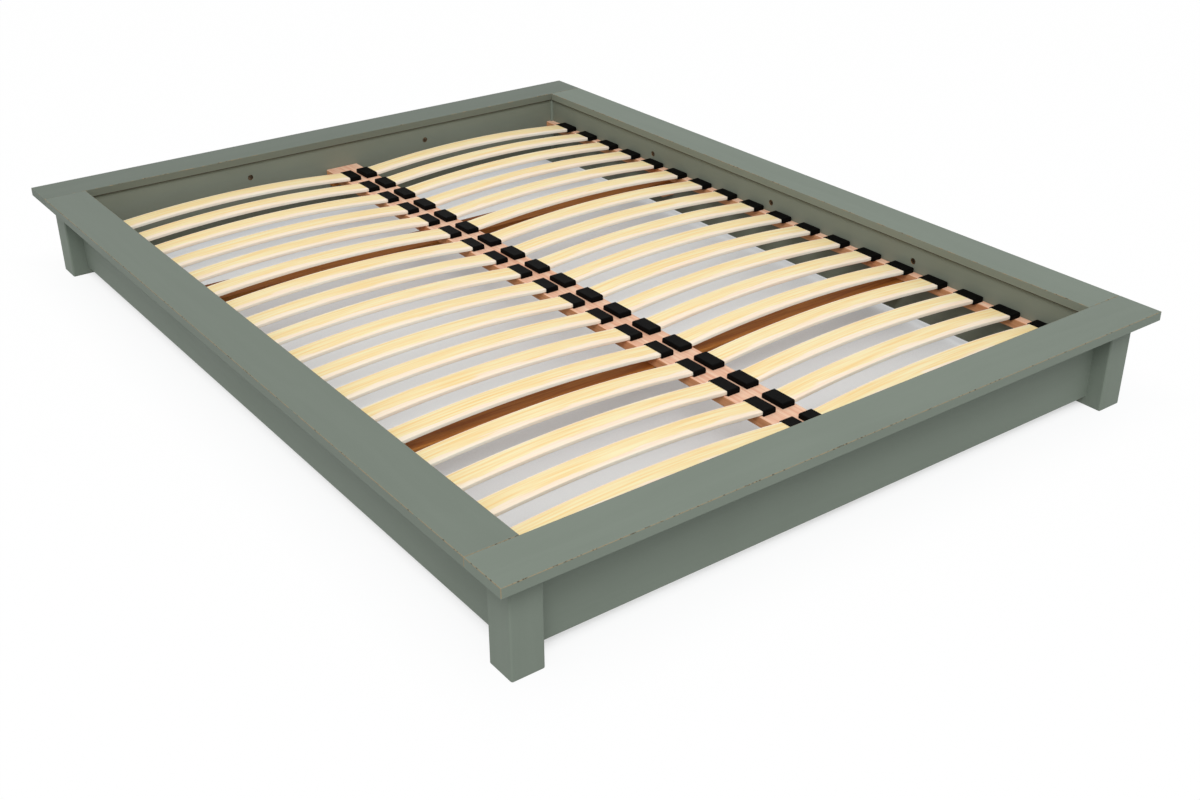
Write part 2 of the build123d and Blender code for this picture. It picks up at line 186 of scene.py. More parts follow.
def buildWearGroup():
    # Thin broken line where the lacquer is rubbed through along an edge, with darker nicks in it
    tree, given, out = newTree("rubbedEdge", "ShaderNodeTree", {
        "Vector": ("NodeSocketVector", None),
        "Distance": ("NodeSocketFloat", 0.0),
        "Width": ("NodeSocketFloat", rubbing["width"]),
        "Gap Scale": ("NodeSocketFloat", rubbing["patchScale"]),
        "Nick Scale": ("NodeSocketFloat", rubbing["nickScale"]),
        "Speck Scale": ("NodeSocketFloat", rubbing["speckScale"]),
        "Amount": ("NodeSocketFloat", rubbing["amount"]),
    }, {"Mask": "NodeSocketFloat", "Nicks": "NodeSocketFloat"})
    patches = addNoise(tree, given["Vector"], given["Gap Scale"], rubbing["patchDetail"],
                       rubbing["patchRoughness"])
    sway = addNoise(tree, given["Vector"], rubbing["swayScale"], detail=1.0)
    level = addMath(tree, "ADD", patches,
                    addMath(tree, "MULTIPLY_ADD", sway, rubbing["swayReach"], -rubbing["swayReach"] / 2))
    threshold = addMath(tree, "SUBTRACT", rubbing["fullAt"],
                        addMath(tree, "MULTIPLY", given["Amount"], rubbing["amountReach"]))
    present = mapRange(tree, level, threshold, addMath(tree, "ADD", threshold, rubbing["softness"]))
    reach = addMath(tree, "MULTIPLY", given["Width"], addMath(tree, "ADD", rubbing["widthLeast"], patches))
    nicks = addNoise(tree, given["Vector"], given["Nick Scale"], detail=1.0)
    nicks = mapRange(tree, nicks, *rubbing["nickRange"])
    # A nick eats a little further into the board than the line beside it
    reach = addMath(tree, "MULTIPLY", reach, addMath(tree, "MULTIPLY_ADD", nicks, rubbing["nickReach"], 1.0))
    line = addMath(tree, "LESS_THAN", given["Distance"], reach)
    specks = addNoise(tree, given["Vector"], given["Speck Scale"], detail=1.0)
    specks = mapRange(tree, specks, *rubbing["speckRange"])
    specks = addMath(tree, "MULTIPLY_ADD", specks, rubbing["speckReach"], 1.0 - rubbing["speckReach"])
    plugIn(tree, out["Mask"], addMath(tree, "MULTIPLY", line, addMath(tree, "MULTIPLY", present, specks)))
    plugIn(tree, out["Nicks"], nicks)
    return tree


# Wood figure: broad bands that sway, and fine fibres

figure = {
    "bandScale": 20.0,
    "bandStretch": (0.09, 1.0, 1.0),
    "bandDetail": 4.0,
    "bandRoughness": 0.55,
    "bandDistortion": 0.6,
    "bandRange": (0.3, 0.7),
    "bandHeight": 0.35,
    "fibreScale": 350.0,
    "fibreStretch": (0.035, 1.0, 1.0),
    "fibreDetail": 3.0,
    "fibreRoughness": 0.65,
    "fibreRange": (0.32, 0.68),
    "fibreHeight": 0.65,
    "waviness": 0.4,
    "swayStretch": (2.2, 6.0, 6.0),
    "swayReach": 0.1,
}


def buildGrainGroup():
    # Wood figure with its length along X of the vector that comes in
    tree, given, out = newTree("woodGrain", "ShaderNodeTree", {
        "Vector": ("NodeSocketVector", None),
        "Figure Scale": ("NodeSocketFloat", figure["bandScale"]),
        "Fibre Scale": ("NodeSocketFloat", figure["fibreScale"]),
        "Waviness": ("NodeSocketFloat", figure["waviness"]),
    }, {"Figure": "NodeSocketFloat", "Fibre": "NodeSocketFloat", "Height": "NodeSocketFloat"})
    sway = addNoise(tree, stretch(tree, given["Vector"], figure["swayStretch"]), 1.0)
    sway = combine(tree, y=addMath(tree, "MULTIPLY", sway, given["Waviness"]))
    sway = addNode(tree, "ShaderNodeVectorMath", {0: sway, "Scale": figure["swayReach"]},
                   operation="SCALE").outputs[0]
    swayed = vectorMath(tree, "ADD", stretch(tree, given["Vector"], figure["bandStretch"]), sway)
    bands = addNoise(tree, swayed, given["Figure Scale"], figure["bandDetail"], figure["bandRoughness"],
                     figure["bandDistortion"])
    fibre = addNoise(tree, stretch(tree, given["Vector"], figure["fibreStretch"]), given["Fibre Scale"],
                     figure["fibreDetail"], figure["fibreRoughness"])
    plugIn(tree, out["Figure"], mapRange(tree, bands, *figure["bandRange"], smooth=True))
    plugIn(tree, out["Fibre"], mapRange(tree, fibre, *figure["fibreRange"]))
    plugIn(tree, out["Height"],
           addShares(tree, (fibre, figure["fibreHeight"]), (bands, figure["bandHeight"])))
    return tree


# Soft patches and a fine speckle, as on sprayed lacquer or moulded plastic

mottling = {
    "patchScale": 4.0,
    "patchDetail": 3.0,
    "patchRoughness": 0.5,
    "patchRange": (0.3, 0.7),
    "speckleScale": 900.0,
    "speckleDetail": 2.0,
    "speckleRoughness": 0.6,
    "speckleRange": (0.25, 0.75),
}


def buildMottleGroup():
    tree, given, out = newTree("mottle", "ShaderNodeTree", {
        "Vector": ("NodeSocketVector", None),
        "Patch Scale": ("NodeSocketFloat", mottling["patchScale"]),
        "Speckle Scale": ("NodeSocketFloat", mottling["speckleScale"]),
    }, {"Patches": "NodeSocketFloat", "Speckle": "NodeSocketFloat"})
    patches = addNoise(tree, given["Vector"], given["Patch Scale"], mottling["patchDetail"],
                       mottling["patchRoughness"])
    speckle = addNoise(tree, given["Vector"], given["Speckle Scale"], mottling["speckleDetail"],
                       mottling["speckleRoughness"])
    plugIn(tree, out["Patches"], mapRange(tree, patches, *mottling["patchRange"], smooth=True))
    plugIn(tree, out["Speckle"], mapRange(tree, speckle, *mottling["speckleRange"]))
    return tree


edgeGroup = buildEdgeGroup()
wearGroup = buildWearGroup()
grainGroup = buildGrainGroup()
mottleGroup = buildMottleGroup()


# Helpers for materials

grainTurns = {"X": (0.0, 0.0, 0.0), "Y": (0.0, 0.0, math.pi / 2), "Z": (0.0, math.pi / 2, 0.0)}


def startMaterial(name):
    material = bpy.data.materials.new(name)
    material.use_nodes = True
    tree = material.node_tree
    tree.nodes.clear()
    place = addNode(tree, "ShaderNodeTexCoord").outputs["Object"]
    shader = addNode(tree, "ShaderNodeBsdfPrincipled")
    plugIn(tree, addNode(tree, "ShaderNodeOutputMaterial").inputs[0], shader.outputs[0])
    return material, tree, place, shader.inputs


def useGroup(tree, group, inputs):
    node = addNode(tree, "ShaderNodeGroup", node_tree=group)
    for key, value in inputs.items():
        plugIn(tree, node.inputs[key], value)
    return node.outputs


def turnGrain(tree, place, axis):
    # Turns the place so that the wood's length, which runs along that axis, comes out along X
    return addNode(tree, "ShaderNodeMapping", {"Vector": place, "Rotation": grainTurns[axis]}).outputs[0]


def faceNormal(tree):
    return addNode(tree, "ShaderNodeNewGeometry").outputs["True Normal"]


def addBump(tree, height, strength, distance, normal=None):
    inputs = {"Height": height, "Strength": strength, "Distance": distance}
    if normal is not None:
        inputs["Normal"] = normal
    return addNode(tree, "ShaderNodeBump", inputs).outputs[0]


# Lacquer of the rim, aprons and legs

lacquer = {
    "light": linear(127, 137, 126),
    "dark": linear(119, 129, 118),
    "worn": linear(149, 135, 108),
    "nick": linear(92, 84, 68),
    "bareLight": linear(150, 118, 80),
    "bareDark": linear(96, 68, 42),
    "wearWidth": 0.0011,
    "wearAmounts": {"rim_foot": 0.95, "rim_left": 0.8, "rim_right": 0.6, "rim_head": 0.5},
    "slightWear": 0.12,
    # Each rim board a little lighter or darker: painted light and shade
    "paintedBoardShades": {"rim_foot": 0.99, "rim_left": 0.95, "rim_right": 1.01, "rim_head": 0.9},
    "screenGamma": 2.2,
    # Browner, darker faces inside the bed: painted shade and bounce light
    "paintedBounceTint": (1.025, 0.95, 0.905),
    "insideFacing": -0.5,
    # Dark line under the rim's inner lip: painted shadow
    "paintedShadowLine": linear(60, 50, 38),
    "paintedShadowWidth": 0.0018,
    "boardDepth": 0.0008,
    "legDepth": 0.002,
    "figureScale": 26.0,
    "fibreScale": 420.0,
    "figureShare": 0.3,
    "patchShare": 0.45,
    "speckleShare": 0.25,
    "gloss": 0.2,
    "roughness": 0.55,
    "patchRoughness": 0.08,
    "wornRoughness": 0.25,
    "grainStrength": 0.6,
    "grainRelief": 0.00012,
    "orangePeelStrength": 0.5,
    "orangePeelRelief": 0.00003,
}


def lacquerMaterial(node, alongAxis, depthLimit):
    low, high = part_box(node)
    middle = (low + high) / 2
    material, tree, place, shader = startMaterial("lacquer_" + node)
    shader["Specular IOR Level"].default_value = lacquer["gloss"]
    edge = useGroup(tree, edgeGroup, {"Vector": place, "Centre": middle, "Half Size": (high - low) / 2})
    wear = useGroup(tree, wearGroup, {
        "Vector": place,
        "Distance": edge["Distance"],
        "Width": lacquer["wearWidth"],
        "Amount": lacquer["wearAmounts"].get(node, lacquer["slightWear"]),
    })
    grain = useGroup(tree, grainGroup, {
        "Vector": turnGrain(tree, place, alongAxis),
        "Figure Scale": lacquer["figureScale"],
        "Fibre Scale": lacquer["fibreScale"],
    })
    mottle = useGroup(tree, mottleGroup, {"Vector": place})
    tone = addShares(tree, (mottle["Patches"], lacquer["patchShare"]),
                     (grain["Figure"], lacquer["figureShare"]), (mottle["Speckle"], lacquer["speckleShare"]))
    # Painted light and shade: each rim board is made lighter or darker for the light and sheen that fall on it
    level = lacquer["paintedBoardShades"].get(node, 1.0) ** lacquer["screenGamma"]
    shades = [[channel * level for channel in lacquer[name][:3]] + [1.0] for name in ("dark", "light")]
    painted = mixColors(tree, tone, *shades)
    rubbed = mixColors(tree, wear["Nicks"], lacquer["worn"], lacquer["nick"])
    # Lower edges are out of reach and keep their lacquer
    height = separate(tree, place)[2]
    reached = addMath(tree, "GREATER_THAN", height, low.z + 2 * lacquer["wearWidth"])
    worn = addMath(tree, "MULTIPLY", wear["Mask"], reached)
    painted = mixColors(tree, worn, painted, rubbed)
    if not node.startswith("leg_"):
        # Painted shade and bounce light: the faces that look into the bed are made a little browner and darker
        outward = Vector((middle.x, middle.y, 0.0)).normalized()
        facing = addNode(tree, "ShaderNodeVectorMath", {0: faceNormal(tree), 1: outward},
                         operation="DOT_PRODUCT").outputs["Value"]
        inward = addMath(tree, "LESS_THAN", facing, lacquer["insideFacing"])
        painted = mixColors(tree, inward, painted, vectorMath(tree, "MULTIPLY", painted, lacquer["paintedBounceTint"]))
    if node.startswith("rim_"):
        # Painted shadow: a dark line along the inner lower edge, under the rim's lip where the rim meets the
        # apron
        lower = addMath(tree, "LESS_THAN", height, middle.z)
        atEdge = addMath(tree, "LESS_THAN", edge["Distance"], lacquer["paintedShadowWidth"])
        paintedShadowMask = addMath(tree, "MULTIPLY", addMath(tree, "MULTIPLY", inward, lower), atEdge)
        painted = mixColors(tree, paintedShadowMask, painted, lacquer["paintedShadowLine"])
    # The lacquer doesn't reach into the bores, whose walls are bare wood
    bare = mixColors(tree, grain["Fibre"], lacquer["bareDark"], lacquer["bareLight"])
    inBore = addMath(tree, "GREATER_THAN", edge["Depth"], depthLimit)
    plugIn(tree, shader["Base Color"], mixColors(tree, inBore, painted, bare))
    sheen = addMath(tree, "MULTIPLY_ADD", mottle["Patches"], lacquer["patchRoughness"], lacquer["roughness"])
    plugIn(tree, shader["Roughness"], addMath(tree, "MULTIPLY_ADD", worn, lacquer["wornRoughness"], sheen))
    fine = addBump(tree, mottle["Speckle"], lacquer["orangePeelStrength"], lacquer["orangePeelRelief"])
    plugIn(tree, shader["Normal"],
           addBump(tree, grain["Height"], lacquer["grainStrength"], lacquer["grainRelief"], fine))
    return material


# Bare softwood of the rails, planks and cleats, and beech of the dowels

railWood = {
    "railLight": linear(252, 216, 186),
    "railDark": linear(228, 162, 128),
    # The rails' sides take a browner, darker colour: painted shade
    "railPaintedShadeLight": linear(232, 172, 126),
    "railPaintedShadeDark": linear(196, 128, 80),
    # The planks' darker, browner colour is painted shade for their place under the slats
    "plankPaintedShadeLight": linear(192, 126, 54),
    "plankPaintedShadeDark": linear(150, 82, 16),
    "beechLight": linear(226, 196, 150),
    "beechDark": linear(196, 160, 112),
    "figureScale": 60.0,
    "fibreScale": 420.0,
    "waviness": 0.7,
    "streakScale": 150.0,
    "streakStretch": 0.045,
    "streakRange": (0.38, 0.62),
    "figureShare": 0.3,
    "fibreShare": 0.25,
    "streakShare": 0.45,
    "paintedSideRange": (0.2, 0.8),
    "roughness": 0.68,
    "fibreRoughness": 0.12,
    "reliefStrength": 0.6,
    "relief": 0.0002,
}


def softwoodMaterial(name, alongAxis, light, dark, paintedSideLight=None, paintedSideDark=None):
    material, tree, place, shader = startMaterial(name)
    along = turnGrain(tree, place, alongAxis)
    grain = useGroup(tree, grainGroup, {
        "Vector": along,
        "Figure Scale": railWood["figureScale"],
        "Fibre Scale": railWood["fibreScale"],
        "Waviness": railWood["waviness"],
    })
    drawn = stretch(tree, along, (railWood["streakStretch"], 1.0, 1.0))
    streaks = mapRange(tree, addNoise(tree, drawn, railWood["streakScale"]), *railWood["streakRange"])
    tone = addShares(tree, (grain["Fibre"], railWood["fibreShare"]),
                     (grain["Figure"], railWood["figureShare"]), (streaks, railWood["streakShare"]))
    color = mixColors(tree, tone, dark, light)
    if paintedSideLight:
        # Painted shade: the sides are made browner and darker than the top
        up = separate(tree, faceNormal(tree))[2]
        onTop = mapRange(tree, up, *railWood["paintedSideRange"])
        color = mixColors(tree, onTop, mixColors(tree, tone, paintedSideDark, paintedSideLight), color)
    plugIn(tree, shader["Base Color"], color)
    plugIn(tree, shader["Roughness"],
           addMath(tree, "MULTIPLY_ADD", grain["Fibre"], railWood["fibreRoughness"], railWood["roughness"]))
    plugIn(tree, shader["Normal"],
           addBump(tree, grain["Height"], railWood["reliefStrength"], railWood["relief"]))
    return material


# Birch of the sprung slats: yellow faces, with a painted highlight along the foot side and on the sides

birch = {
    "light": linear(254, 244, 199),
    "dark": linear(251, 214, 145),
    # Paler colours of the foot side and of the upright sides: painted highlight
    "paintedHighlightLight": linear(255, 242, 220),
    "paintedHighlightDark": linear(255, 231, 206),
    "paintedSideLight": linear(255, 248, 232),
    "paintedSideDark": linear(255, 240, 219),
    "paintedHighlightRange": (0.0105, 0.0165),
    "paintedHighlightSway": 0.012,
    "paintedHighlightFarEdge": 0.0235,
    "uprightBelow": 0.5,
    "figureScale": 75.0,
    "fibreScale": 500.0,
    "waviness": 0.8,
    "flatten": 0.1,
    "toneShift": 7.0,
    "streakScale": 200.0,
    "streakStretch": 0.028,
    "streakRange": (0.36, 0.64),
    "figureShare": 0.1,
    "fibreShare": 0.1,
    "streakShare": 0.7,
    "toneShare": 0.1,
    "gloss": 0.2,
    "roughness": 0.5,
    "fibreRoughness": 0.15,
    "reliefStrength": 0.5,
    "relief": 0.00006,
}


def readAttribute(tree, name):
    return addNode(tree, "ShaderNodeAttribute", attribute_name=name, attribute_type="GEOMETRY").outputs["Fac"]


def birchMaterial():
    material, tree, place, shader = startMaterial("slatBirch")
    shader["Specular IOR Level"].default_value = birch["gloss"]
    tone = readAttribute(tree, "slatTone")
    across = readAttribute(tree, "slatAcross")
    # Each slat has a stretch of wood of its own
    shift = combine(tree, x=addMath(tree, "MULTIPLY", tone, birch["toneShift"]))
    moved = vectorMath(tree, "ADD", place, shift)
    # The figure follows the bow, so the height counts for little
    moved = stretch(tree, moved, (1.0, 1.0, birch["flatten"]))
    grain = useGroup(tree, grainGroup, {
        "Vector": moved,
        "Figure Scale": birch["figureScale"],
        "Fibre Scale": birch["fibreScale"],
        "Waviness": birch["waviness"],
    })
    drawn = stretch(tree, moved, (birch["streakStretch"], 1.0, 1.0))
    streaks = mapRange(tree, addNoise(tree, drawn, birch["streakScale"]), *birch["streakRange"])
    level = addShares(tree, (grain["Fibre"], birch["fibreShare"]), (grain["Figure"], birch["figureShare"]),
                      (streaks, birch["streakShare"]))
    level = addMath(tree, "MULTIPLY_ADD", tone, birch["toneShare"], level, clamp=True)
    face = mixColors(tree, level, birch["dark"], birch["light"])
    # Painted highlight: paler colour along the foot side, with a wavering border, on the far edge and on the
    # upright sides
    up = separate(tree, faceNormal(tree))[2]
    upright = addMath(tree, "LESS_THAN", addMath(tree, "ABSOLUTE", up), birch["uprightBelow"])
    # The side colours are painted highlight
    side = mixColors(tree, upright, mixColors(tree, streaks, birch["paintedHighlightDark"], birch["paintedHighlightLight"]),
                     mixColors(tree, streaks, birch["paintedSideDark"], birch["paintedSideLight"]))
    sway = addMath(tree, "MULTIPLY_ADD", addMath(tree, "SUBTRACT", grain["Figure"], 0.5), birch["paintedHighlightSway"],
                   across)
    paintedHighlight = mapRange(tree, addMath(tree, "MULTIPLY", sway, -1.0), *birch["paintedHighlightRange"], smooth=True)
    paintedHighlight = addMath(tree, "MAXIMUM", paintedHighlight, addMath(tree, "GREATER_THAN", across, birch["paintedHighlightFarEdge"]))
    plugIn(tree, shader["Base Color"], mixColors(tree, paintedHighlight, face, side))
    plugIn(tree, shader["Roughness"],
           addMath(tree, "MULTIPLY_ADD", grain["Fibre"], birch["fibreRoughness"], birch["roughness"]))
    plugIn(tree, shader["Normal"], addBump(tree, grain["Height"], birch["reliefStrength"], birch["relief"]))
    return material


# Moulded black plastic of the slat caps

capPlastic = {
    "light": linear(13, 12, 11),
    "dark": linear(9, 8, 8),
    "patchScale": 60.0,
    "speckleScale": 2600.0,
    "gloss": 0.02,
    "roughness": 0.45,
    "speckleRoughness": 0.14,
    "reliefStrength": 0.7,
    "relief": 0.00004,
}


def plasticMaterial():
    material, tree, place, shader = startMaterial("capPlastic")
    shader["Specular IOR Level"].default_value = capPlastic["gloss"]
    mottle = useGroup(tree, mottleGroup, {
        "Vector": place,
        "Patch Scale": capPlastic["patchScale"],
        "Speckle Scale": capPlastic["speckleScale"],
    })
    plugIn(tree, shader["Base Color"],
           mixColors(tree, mottle["Patches"], capPlastic["dark"], capPlastic["light"]))
    plugIn(tree, shader["Roughness"], addMath(tree, "MULTIPLY_ADD", mottle["Speckle"],
                                              capPlastic["speckleRoughness"], capPlastic["roughness"]))
    plugIn(tree, shader["Normal"],
           addBump(tree, mottle["Speckle"], capPlastic["reliefStrength"], capPlastic["relief"]))
    return material


# Metal of the cam locks, bolts and screws

metals = {
    # The cam locks' dark bronze colour is painted shade for the inside of their holes
    "bronzePaintedShadeLight": linear(124, 106, 86),
    "bronzePaintedShadeDark": linear(66, 55, 44),
    "bronzeRoughness": 0.4,
    "zincLight": linear(196, 196, 190),
    "zincDark": linear(140, 140, 136),
    "zincRoughness": 0.3,
    "patchScale": 180.0,
    "speckleScale": 3000.0,
    "speckleRoughness": 0.2,
    "reliefStrength": 0.4,
    "relief": 0.00002,
}


def metalMaterial(name, light, dark, roughness):
    material, tree, place, shader = startMaterial(name)
    mottle = useGroup(tree, mottleGroup, {
        "Vector": place,
        "Patch Scale": metals["patchScale"],
        "Speckle Scale": metals["speckleScale"],
    })
    plugIn(tree, shader["Base Color"], mixColors(tree, mottle["Patches"], dark, light))
    shader["Metallic"].default_value = 1.0
    plugIn(tree, shader["Roughness"],
           addMath(tree, "MULTIPLY_ADD", mottle["Speckle"], metals["speckleRoughness"], roughness))
    plugIn(tree, shader["Normal"], addBump(tree, mottle["Speckle"], metals["reliefStrength"], metals["relief"]))
    return material


# Sprung slats. The arcs are those of the CAD slat, worked out from its box and its caps.

slat = {
    "rows": 18,
    "width": 0.053,
    "thickness": 0.008,
    "edgeRadius": 0.0014,
    "edgeCorners": 5,
    "capReach": 0.032,
    "capFloor": 0.002,
    "blendRadius": 0.15,
    "alongPoints": 72,
    "mirrorSeed": 500,
}


def storeValue(tree, geometry, name, value):
    inputs = {"Geometry": geometry, "Name": name, "Value": value}
    return addNode(tree, "GeometryNodeStoreNamedAttribute", inputs, data_type="FLOAT", domain="POINT").outputs[0]


def finishTree(tree, geometry, material, out):
    real = addNode(tree, "GeometryNodeRealizeInstances", {"Geometry": geometry}).outputs[0]
    plugIn(tree, out["Geometry"],
           addNode(tree, "GeometryNodeSetMaterial", {"Geometry": real, "Material": material}).outputs[0])


def arcDrop(tree, radius, distance):
    # How far an arc of that radius has left its tangent at that distance along the tangent
    square = addMath(tree, "SUBTRACT", addMath(tree, "MULTIPLY", radius, radius),
                     addMath(tree, "MULTIPLY", distance, distance))
    return addMath(tree, "SUBTRACT", radius, addMath(tree, "SQRT", square))


def buildSlatTree():
    tree, given, out = newTree("sprungSlat", "GeometryNodeTree", {
        "Row Place": ("NodeSocketFloat", 0.0),
        "Base Height": ("NodeSocketFloat", 0.137),
        "Width": ("NodeSocketFloat", slat["width"]),
        "Thickness": ("NodeSocketFloat", slat["thickness"]),
        "Edge Radius": ("NodeSocketFloat", slat["edgeRadius"]),
        "Inner End": ("NodeSocketFloat", 0.0),
        "Outer End": ("NodeSocketFloat", 0.7),
        "Half Span": ("NodeSocketFloat", 0.316),
        "Middle": ("NodeSocketFloat", 0.356),
        "Crown": ("NodeSocketFloat", 0.016),
        "Crown Radius": ("NodeSocketFloat", 3.0),
        "Blend Radius": ("NodeSocketFloat", slat["blendRadius"]),
        "Blend Reach": ("NodeSocketFloat", 0.015),
        "Along Points": ("NodeSocketInt", slat["alongPoints"]),
        "Seed": ("NodeSocketInt", 0),
        "Material": ("NodeSocketMaterial", None),
    }, {"Geometry": "NodeSocketGeometry"})
    # A line of points is lifted into the bow
    line = addNode(tree, "GeometryNodeCurvePrimitiveLine", {
        "Start": combine(tree, given["Inner End"], given["Row Place"]),
        "End": combine(tree, given["Outer End"], given["Row Place"]),
    }).outputs[0]
    points = addNode(tree, "GeometryNodeResampleCurve", {"Curve": line, "Count": given["Along Points"]},
                     mode="COUNT").outputs[0]
    x = separate(tree, addNode(tree, "GeometryNodeInputPosition").outputs[0])[0]
    fromMiddle = addMath(tree, "ABSOLUTE", addMath(tree, "SUBTRACT", x, given["Middle"]))
    fromMouth = addMath(tree, "MAXIMUM", addMath(tree, "SUBTRACT", given["Half Span"], fromMiddle), 0.0)
    blendRise = arcDrop(tree, given["Blend Radius"], addMath(tree, "MINIMUM", fromMouth, given["Blend Reach"]))
    bowRise = addMath(tree, "SUBTRACT", given["Crown"], arcDrop(tree, given["Crown Radius"], fromMiddle))
    inBlend = addMath(tree, "LESS_THAN", fromMouth, given["Blend Reach"])
    rise = addNode(tree, "ShaderNodeMix", {0: inBlend, 2: bowRise, 3: blendRise}).outputs[0]
    lift = combine(tree, z=addMath(tree, "ADD", rise, given["Base Height"]))
    bowed = addNode(tree, "GeometryNodeSetPosition", {"Geometry": points, "Offset": lift}).outputs[0]
    bowed = addNode(tree, "GeometryNodeSetCurveNormal", {"Curve": bowed}, mode="Z_UP").outputs[0]
    # The strip's section is drawn along it
    section = addNode(tree, "GeometryNodeCurvePrimitiveQuadrilateral",
                      {"Width": given["Width"], "Height": given["Thickness"]}).outputs[0]
    section = addNode(tree, "GeometryNodeFilletCurve",
                      {"Curve": section, "Count": slat["edgeCorners"], "Radius": given["Edge Radius"]},
                      mode="POLY").outputs[0]
    strip = addNode(tree, "GeometryNodeCurveToMesh",
                    {"Curve": bowed, "Profile Curve": section, "Fill Caps": True}).outputs[0]
    mirrored = addNode(tree, "GeometryNodeTransform", {"Geometry": strip, "Scale": (-1.0, 1.0, 1.0)}).outputs[0]
    mirrored = addNode(tree, "GeometryNodeFlipFaces", {"Mesh": mirrored}).outputs[0]
    # Each slat gets a tone of its own, the same at all of its points
    joined = addNode(tree, "GeometryNodeJoinGeometry")
    allPoints = addNode(tree, "FunctionNodeInputInt", integer=0).outputs[0]
    for piece, offset in ((strip, 0), (mirrored, slat["mirrorSeed"])):
        seed = addMath(tree, "ADD", given["Seed"], offset)
        tone = addNode(tree, "FunctionNodeRandomValue", {"ID": allPoints, "Seed": seed},
                       data_type="FLOAT").outputs[1]
        tree.links.new(storeValue(tree, piece, "slatTone", tone), joined.inputs[0])
    # The place across the slat is kept, so that its foot side can take a paler colour, a painted highlight
    y = separate(tree, addNode(tree, "GeometryNodeInputPosition").outputs[0])[1]
    across = addMath(tree, "SUBTRACT", y, given["Row Place"])
    marked = storeValue(tree, joined.outputs[0], "slatAcross", across)
    smooth = addNode(tree, "GeometryNodeSetShadeSmooth", {"Geometry": marked}).outputs[0]
    finishTree(tree, smooth, given["Material"], out)
    return tree


def growPiece(name, tree, values, base=None):
    # Runs a Geometry Nodes tree and keeps its result as a plain mesh
    grown = bpy.data.objects.new(name, base or bpy.data.meshes.new(name))
    bpy.context.scene.collection.objects.link(grown)
    modifier = grown.modifiers.new("grow", "NODES")
    modifier.node_group = tree
    for item in tree.interface.items_tree:
        if item.in_out == "INPUT" and item.name in values:
            modifier[item.identifier] = values[item.name]
    bpy.context.view_layer.update()
    evaluated = grown.evaluated_get(bpy.context.evaluated_depsgraph_get())
    finished = bpy.data.meshes.new_from_object(evaluated)
    grown.modifiers.clear()
    grown.data = finished
    finished.name = name
    return grown


def makeSlats(material):
    tree = buildSlatTree()
    outerLow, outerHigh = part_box("slat_caps_right_outer")
    innerLow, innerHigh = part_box("slat_caps_right_inner")
    halfSpan = (outerLow.x - innerHigh.x) / 2
    for row in range(1, slat["rows"] + 1):
        node = f"slat_row_{row:02d}"
        low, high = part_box(node)
        crown = high.z - low.z - slat["thickness"]
        bowAngle = 2 * math.atan(crown / halfSpan)
        piece = growPiece(f"sprungSlats{row:02d}", tree, {
            "Row Place": (low.y + high.y) / 2,
            "Base Height": low.z + slat["thickness"] / 2,
            "Inner End": innerHigh.x + outerHigh.x - high.x - slat["capReach"],
            "Outer End": high.x,
            "Half Span": halfSpan,
            "Middle": (outerLow.x + innerHigh.x) / 2,
            "Crown": crown,
            "Crown Radius": halfSpan / math.sin(bowAngle) - slat["blendRadius"],
            "Blend Reach": slat["blendRadius"] * math.sin(bowAngle),
            "Seed": row,
            "Material": material,
        })
        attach(piece, "root")
        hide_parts(node)
    print("slats made:", slat["rows"], "rows of two")


# Slat caps: a hollow block with rounded shoulders, closed at one end, with a peg below

cap = {
    "length": 0.032,
    "width": 0.060,
    "height": 0.0115,
    "shoulder": 0.004,
    "foot": 0.0005,
    "lip": 0.0005,
    "lipInset": 0.8,
    "mouthFlare": 0.6,
    "endRadius": 0.0025,
    "endSteps": 4,
    "endWall": 0.004,
    "play": 0.0002,
    "cornerSteps": 5,
    "pegRadius": 0.004,
    "pegLength": 0.012,
    "pegInset": 0.009,
    "pegSides": 20,
}


def roundedRing(width, bottom, top, lowRadius, highRadius):
    # Points of an upright rounded rectangle in (y, z), counter-clockwise seen from +X
    half = width / 2
    corners = (
        (half - lowRadius, bottom + lowRadius, lowRadius, -90),
        (half - highRadius, top - highRadius, highRadius, 0),
        (highRadius - half, top - highRadius, highRadius, 90),
        (lowRadius - half, bottom + lowRadius, lowRadius, 180),
    )
    ring = []
    for y, z, radius, start in corners:
        for step in range(cap["cornerSteps"] + 1):
            angle = math.radians(start + 90 * step / cap["cornerSteps"])
            ring.append((y + radius * math.cos(angle), z + radius * math.sin(angle)))
    return ring


def outerRing(inset):
    return roundedRing(cap["width"] - 2 * inset, inset, cap["height"] - inset, cap["foot"],
                       cap["shoulder"] - inset)


def innerRing(grow):
    # The slat's section with a little play
    height = slat["thickness"] + cap["play"]
    radius = slat["edgeRadius"] + grow
    return roundedRing(slat["width"] + 2 * (cap["play"] + grow), slat["capFloor"] - grow,
                       slat["capFloor"] + height + grow, radius, radius)


def addRings(mesh, rings):
    # Joins one ring of points to the next with quads and returns the rings' vertices
    made = [[mesh.verts.new((x, y, z)) for y, z in ring] for x, ring in rings]
    for first, second in zip(made, made[1:]):
        for i in range(len(first)):
            j = (i + 1) % len(first)
            mesh.faces.new((first[i], first[j], second[j], second[i]))
    return made


